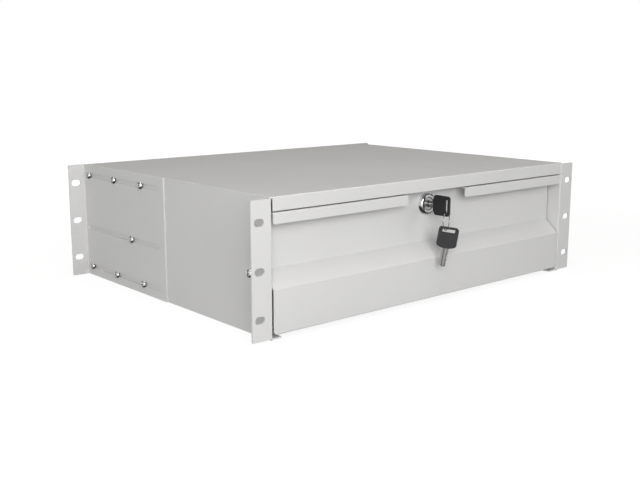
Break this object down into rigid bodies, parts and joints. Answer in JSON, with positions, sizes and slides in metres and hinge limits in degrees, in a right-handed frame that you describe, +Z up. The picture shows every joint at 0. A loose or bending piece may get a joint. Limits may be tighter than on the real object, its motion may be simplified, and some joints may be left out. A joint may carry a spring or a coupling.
{
  "type": "sliding rack drawer",
  "caption": "Rack-mount sliding drawer with a keyed cam lock, ball-bearing telescopic slides and adjustable rear mounting brackets.",
  "frame": {"origin": "centre of the front mounting slots, on the back face of the front ears", "axes": "+X to the right seen from the front, +Y into the rack, +Z up; the drawer opens toward -Y"},
  "size_m": [0.4826, 0.3835, 0.1324],
  "materials": {
    "powder_coat": "light grey powder coat, fine orange peel, satin",
    "zinc_slide": "bright zinc plated steel slide members",
    "ball_steel": "polished bearing steel",
    "screw_chrome": "nickel plated pan-head screws",
    "zinc_small": "zinc plated nuts, rivets and cam",
    "lock_chrome": "polished chrome lock rim and barrel",
    "plug_nickel": "nickel plated plug",
    "key_nickel": "nickel plated brass blades and steel wire ring",
    "key_plastic": "black moulded key bows"
  },
  "bodies": {
    "housing": {"left_side_panel": "powder_coat", "right_side_panel": "powder_coat", "top_cover": "powder_coat", "rear_panel": "powder_coat", "lock_strike": "powder_coat", "left_outer_rail": "zinc_slide", "right_outer_rail": "zinc_slide", "bracket_screws": "screw_chrome", "weld_nuts": "zinc_small", "front_rail_screws": "screw_chrome", "rear_rail_screws": "screw_chrome"},
    "drawer": {"drawer_front": "powder_coat", "drawer_tray": "powder_coat", "left_inner_rail": "zinc_slide", "right_inner_rail": "zinc_slide", "rail_rivets": "zinc_small", "lock_housing": "lock_chrome", "lock_nut": "zinc_small"},
    "plug": {"lock_plug": "plug_nickel", "lock_cam": "zinc_small", "cam_screw": "zinc_small"},
    "key": {"key_blade": "key_nickel", "key_bow": "key_plastic"},
    "ring": {"key_ring": "key_nickel"},
    "spare_key": {"spare_key_blade": "key_nickel", "spare_key_bow": "key_plastic"},
    "left_middle": {"left_middle_rail": "zinc_slide"},
    "left_outer_bearing": {"left_outer_cage": "zinc_slide", "left_outer_balls": "ball_steel"},
    "left_inner_bearing": {"left_inner_cage": "zinc_slide", "left_inner_balls": "ball_steel"},
    "left_bracket": {"left_rear_bracket": "powder_coat"},
    "right_middle": {"right_middle_rail": "zinc_slide"},
    "right_outer_bearing": {"right_outer_cage": "zinc_slide", "right_outer_balls": "ball_steel"},
    "right_inner_bearing": {"right_inner_cage": "zinc_slide", "right_inner_balls": "ball_steel"},
    "right_bracket": {"right_rear_bracket": "powder_coat"}
  },
  "joints": [
    {"name": "drawer_slide", "type": "slide", "parent": "housing", "child": "drawer", "axis": [0, -1, 0], "range_m": [0, 0.29]},
    {"name": "left_middle_slide", "type": "slide", "parent": "housing", "child": "left_middle", "axis": [0, -1, 0], "range_m": [0, 0.1455]},
    {"name": "left_outer_bearing_slide", "type": "slide", "parent": "housing", "child": "left_outer_bearing", "axis": [0, -1, 0], "range_m": [0, 0.073]},
    {"name": "left_inner_bearing_slide", "type": "slide", "parent": "housing", "child": "left_inner_bearing", "axis": [0, -1, 0], "range_m": [0, 0.218]},
    {"name": "left_bracket_slide", "type": "slide", "parent": "housing", "child": "left_bracket", "axis": [0, 1, 0], "range_m": [-0.007, 0.0335]},
    {"name": "right_middle_slide", "type": "slide", "parent": "housing", "child": "right_middle", "axis": [0, -1, 0], "range_m": [0, 0.1455]},
    {"name": "right_outer_bearing_slide", "type": "slide", "parent": "housing", "child": "right_outer_bearing", "axis": [0, -1, 0], "range_m": [0, 0.073]},
    {"name": "right_inner_bearing_slide", "type": "slide", "parent": "housing", "child": "right_inner_bearing", "axis": [0, -1, 0], "range_m": [0, 0.218]},
    {"name": "right_bracket_slide", "type": "slide", "parent": "housing", "child": "right_bracket", "axis": [0, 1, 0], "range_m": [-0.007, 0.0335]},
    {"name": "lock_turn", "type": "hinge", "parent": "drawer", "child": "plug", "pos_m": [0, 0.02, 0.037], "axis": [0, 1, 0], "range_deg": [0, 90]},
    {"name": "key_pull", "type": "slide", "parent": "plug", "child": "key", "axis": [0, -1, 0], "range_m": [0, 0.02]},
    {"name": "ring_swing", "type": "hinge", "parent": "key", "child": "ring", "pos_m": [0, -0.0143, 0.02835], "axis": [-0.3746, 0.9272, 0], "range_deg": [-100, 100]},
    {"name": "spare_swing", "type": "hinge", "parent": "ring", "child": "spare_key", "pos_m": [0, -0.0143, 0.01225], "axis": [0.9272, 0.3746, 0], "range_deg": [-60, 5]}
  ],
  "couplings": [
    {"joint": "left_middle_slide", "follows": "drawer_slide", "ratio": 0.5},
    {"joint": "left_outer_bearing_slide", "follows": "drawer_slide", "ratio": 0.25},
    {"joint": "left_inner_bearing_slide", "follows": "drawer_slide", "ratio": 0.75},
    {"joint": "right_middle_slide", "follows": "drawer_slide", "ratio": 0.5},
    {"joint": "right_outer_bearing_slide", "follows": "drawer_slide", "ratio": 0.25},
    {"joint": "right_inner_bearing_slide", "follows": "drawer_slide", "ratio": 0.75}
  ]
}
